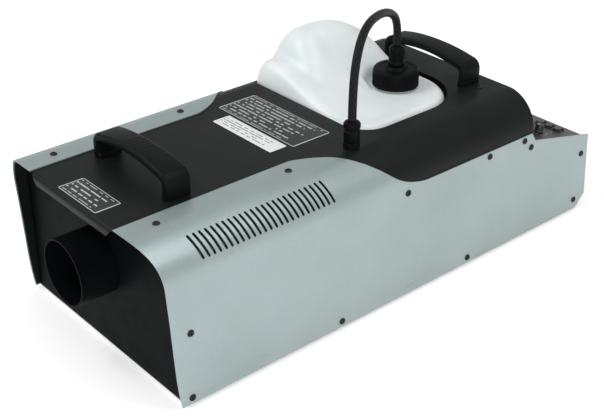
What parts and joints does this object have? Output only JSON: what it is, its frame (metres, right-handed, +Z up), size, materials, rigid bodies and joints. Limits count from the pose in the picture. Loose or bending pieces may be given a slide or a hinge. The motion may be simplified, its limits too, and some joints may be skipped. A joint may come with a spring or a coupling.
{
  "type": "fog machine",
  "caption": "Long sheet-metal fog machine with a round outlet, a lift-out fluid tank with a looped hose, arch handles and a sloped rear control panel.",
  "frame": {"origin": "on the floor, at the middle of the box around the machine without its hose", "axes": "+Z up, -Y towards the fog outlet, +Y along the case to the control panel, +X by the right-hand rule"},
  "size_m": [0.3028, 0.689, 0.3193],
  "materials": {
    "silver_paint": "satin silver enamel",
    "black_paint": "fine-textured black enamel",
    "panel_grey": "satin dark grey enamel",
    "steel_sheet": "zinc-plated sheet",
    "screw_black": "blackened steel",
    "handle_plastic": "textured black nylon",
    "tank_plastic": "translucent white polyethylene",
    "cap_plastic": "moulded black",
    "black_rubber": "matt",
    "knob_plastic": "moulded black",
    "button_plastic": "coloured translucent",
    "lamp_plastic": "clear tinted",
    "display_glass": "tinted window",
    "inlet_plastic": "moulded black",
    "socket_metal": "satin nickel",
    "cast_alloy": "as cast",
    "brass_fitting": "turned",
    "lagging_fibre": "ceramic wool",
    "board_green": "solder mask",
    "tube_plastic": "clear polymer",
    "coil_steel": "laminated steel"
  },
  "bodies": {
    "case": {"side_panel_right": "silver_paint", "side_panel_left": "silver_paint", "side_screws_right": "screw_black", "side_screws_left": "screw_black", "top_cover": "black_paint", "front_panel": "black_paint", "base_pan": "steel_sheet", "rear_panel": "black_paint", "rear_bulkhead": "black_paint", "control_panel": "panel_grey", "control_board": "board_green", "panel_lamps": "lamp_plastic", "display_window": "display_glass", "mains_inlet": "inlet_plastic", "switch_frame": "inlet_plastic", "fuse_holder": "inlet_plastic", "control_socket_in": "socket_metal", "control_socket_out": "socket_metal", "tank_tray": "black_paint", "fluid_hose": "black_rubber", "hose_gland": "cap_plastic", "gland_nut": "brass_fitting", "cover_screws": "screw_black", "front_handle": "handle_plastic", "rear_handle": "handle_plastic", "handle_screws": "screw_black", "rubber_feet": "black_rubber", "foot_screws": "screw_black", "outlet_tube": "black_paint", "outlet_flange": "black_paint", "nozzle_tip": "brass_fitting", "heater_block": "cast_alloy", "heater_elements": "coil_steel", "heater_lagging": "lagging_fibre", "heater_bracket": "steel_sheet", "heater_inlet": "brass_fitting", "thermostat": "coil_steel", "fluid_pump": "coil_steel", "pump_mounts": "black_rubber", "suction_line": "tube_plastic", "pressure_line": "brass_fitting", "main_board": "board_green", "board_standoffs": "brass_fitting", "transformer": "coil_steel", "terminal_block": "tube_plastic"},
    "tank": {"fluid_tank": "tank_plastic", "cap_seal": "black_rubber", "tank_stem": "brass_fitting", "pickup_tube": "tube_plastic", "intake_filter": "cap_plastic", "hose_plug": "cap_plastic"},
    "cap": {"tank_cap": "cap_plastic"},
    "interval_knob": {"knob_interval": "knob_plastic"},
    "duration_knob": {"knob_duration": "knob_plastic"},
    "output_knob": {"knob_output": "knob_plastic"},
    "manual_button": {"button_manual": "button_plastic"},
    "timer_button": {"button_timer": "button_plastic"},
    "continuous_button": {"button_continuous": "button_plastic"},
    "rocker": {"power_rocker": "button_plastic"},
    "fuse": {"fuse_cap": "inlet_plastic"}
  },
  "joints": [
    {"name": "tank_lift", "type": "slide", "parent": "case", "child": "tank", "axis": [0, 0, 1], "range_m": [0, 0.15], "deforming": ["fluid_hose"]},
    {"name": "cap_turn", "type": "hinge", "parent": "tank", "child": "cap", "pos_m": [0.01, 0.1225, 0.206], "axis": [0, 0, 1], "range_deg": [0, 360]},
    {"name": "interval_turn", "type": "hinge", "parent": "case", "child": "interval_knob", "pos_m": [0.05, 0.27322, 0.1196], "axis": [0, 0.2318, 0.9728], "range_deg": [-140, 140]},
    {"name": "duration_turn", "type": "hinge", "parent": "case", "child": "duration_knob", "pos_m": [0.084, 0.27322, 0.1196], "axis": [0, 0.2318, 0.9728], "range_deg": [-140, 140]},
    {"name": "output_turn", "type": "hinge", "parent": "case", "child": "output_knob", "pos_m": [0.118, 0.27322, 0.1196], "axis": [0, 0.2318, 0.9728], "range_deg": [-140, 140]},
    {"name": "manual_press", "type": "slide", "parent": "case", "child": "manual_button", "axis": [0, 0.2318, 0.9728], "range_m": [-0.0015, 0], "stiffness_N_per_m": 400},
    {"name": "timer_press", "type": "slide", "parent": "case", "child": "timer_button", "axis": [0, 0.2318, 0.9728], "range_m": [-0.0015, 0], "stiffness_N_per_m": 400},
    {"name": "continuous_press", "type": "slide", "parent": "case", "child": "continuous_button", "axis": [0, 0.2318, 0.9728], "range_m": [-0.0015, 0], "stiffness_N_per_m": 400},
    {"name": "rocker_tilt", "type": "hinge", "parent": "case", "child": "rocker", "pos_m": [0.038, 0.3335, 0.05], "axis": [1, 0, 0], "range_deg": [0, 16]},
    {"name": "fuse_turn", "type": "hinge", "parent": "case", "child": "fuse", "pos_m": [0.006, 0.3395, 0.05], "axis": [0, 1, 0], "range_deg": [0, 60]}
  ]
}
